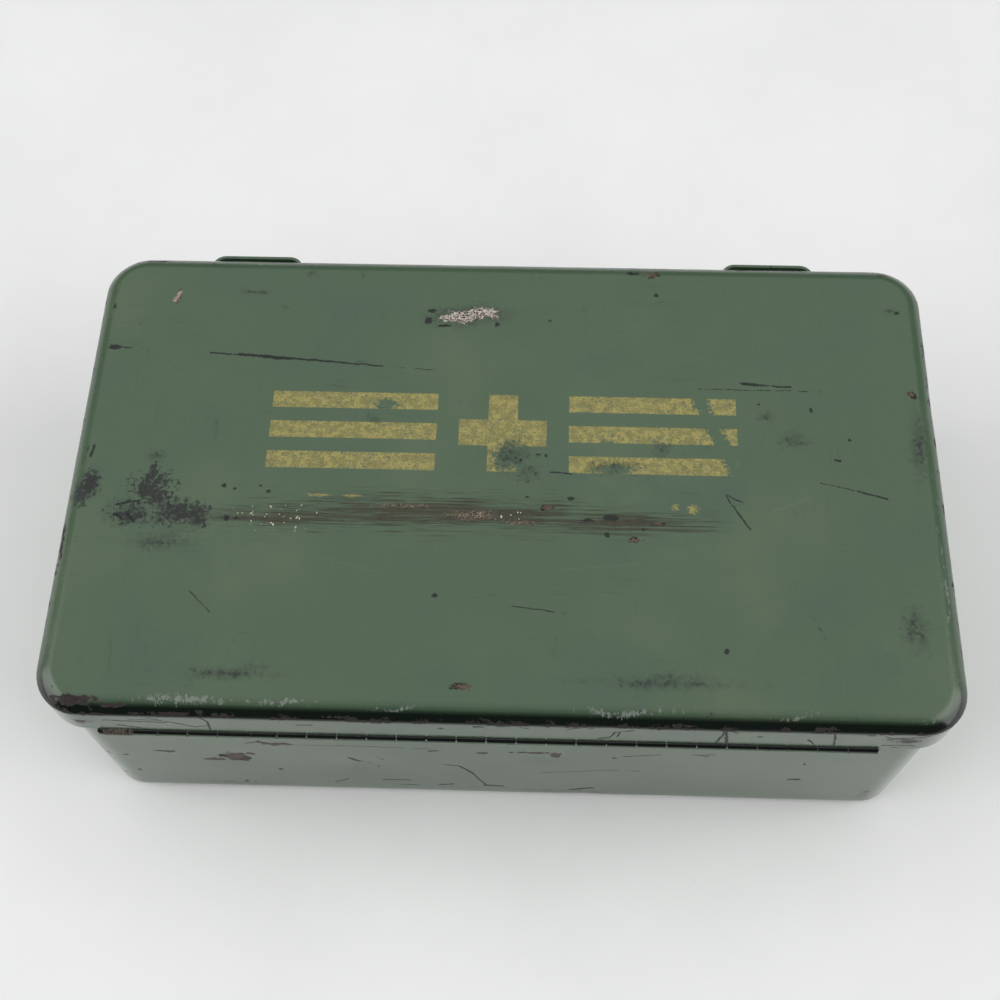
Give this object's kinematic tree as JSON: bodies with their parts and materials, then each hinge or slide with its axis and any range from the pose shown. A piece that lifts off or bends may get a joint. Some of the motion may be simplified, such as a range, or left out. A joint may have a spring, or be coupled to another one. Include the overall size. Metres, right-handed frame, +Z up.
{
  "type": "first aid kit",
  "caption": "Flat green-enamelled steel first aid case with a drawn lid, a piano hinge along one long side, pull-down latches on the other and a row of unit cartons inside.",
  "frame": {"origin": "middle of the case's footprint, on the plane it stands on; the middle of the shell outline, leaving out the hinge and latches that stand proud of it", "axes": "+Z up; +X along the long side; the hinge is on the -Y side and the latches on the +Y side"},
  "size_m": [0.1924, 0.1176, 0.0655],
  "materials": {
    "green_enamel": "worn semi-gloss stove enamel",
    "hinge_enamel": "green enamel over steel, rusty at one end",
    "latch_enamel": "green enamel, worn to bare steel at its edges",
    "pin_steel": "tarnished drawn wire",
    "gasket_rubber": "matt black",
    "carton_board": "uncoated folding board"
  },
  "bodies": {
    "case": {"base_shell": "green_enamel", "base_hinge_leaf": "hinge_enamel", "hinge_pin": "pin_steel", "latch_bracket_left": "latch_enamel", "latch_bracket_right": "latch_enamel", "latch_pin_left": "pin_steel", "latch_pin_right": "pin_steel", "latch_rivets_left": "latch_enamel", "latch_rivets_right": "latch_enamel", "adhesive_bandage_carton": "carton_board", "small_compress_carton": "carton_board", "large_compress_carton": "carton_board", "triangular_bandage_carton": "carton_board", "gauze_pad_carton": "carton_board", "eye_dressing_carton": "carton_board", "ammonia_inhalant_carton": "carton_board", "antiseptic_swab_carton": "carton_board", "burn_ointment_carton": "carton_board", "tourniquet_and_forceps_carton": "carton_board"},
    "lid": {"lid_shell": "green_enamel", "lid_gasket": "gasket_rubber", "lid_hinge_leaf": "hinge_enamel", "strike_left": "latch_enamel", "strike_right": "latch_enamel"},
    "latch_left": {"latch_lever_left": "latch_enamel"},
    "latch_right": {"latch_lever_right": "latch_enamel"}
  },
  "joints": [
    {"name": "lid_hinge", "type": "hinge", "parent": "case", "child": "lid", "pos_m": [0, -0.05675, 0.05195], "axis": [1, 0, 0], "range_deg": [0, 180]},
    {"name": "latch_left_hinge", "type": "hinge", "parent": "case", "child": "latch_left", "pos_m": [-0.0615, 0.057, 0.043], "axis": [-1, 0, 0], "range_deg": [0, 150]},
    {"name": "latch_right_hinge", "type": "hinge", "parent": "case", "child": "latch_right", "pos_m": [0.0615, 0.057, 0.043], "axis": [-1, 0, 0], "range_deg": [0, 150]}
  ]
}
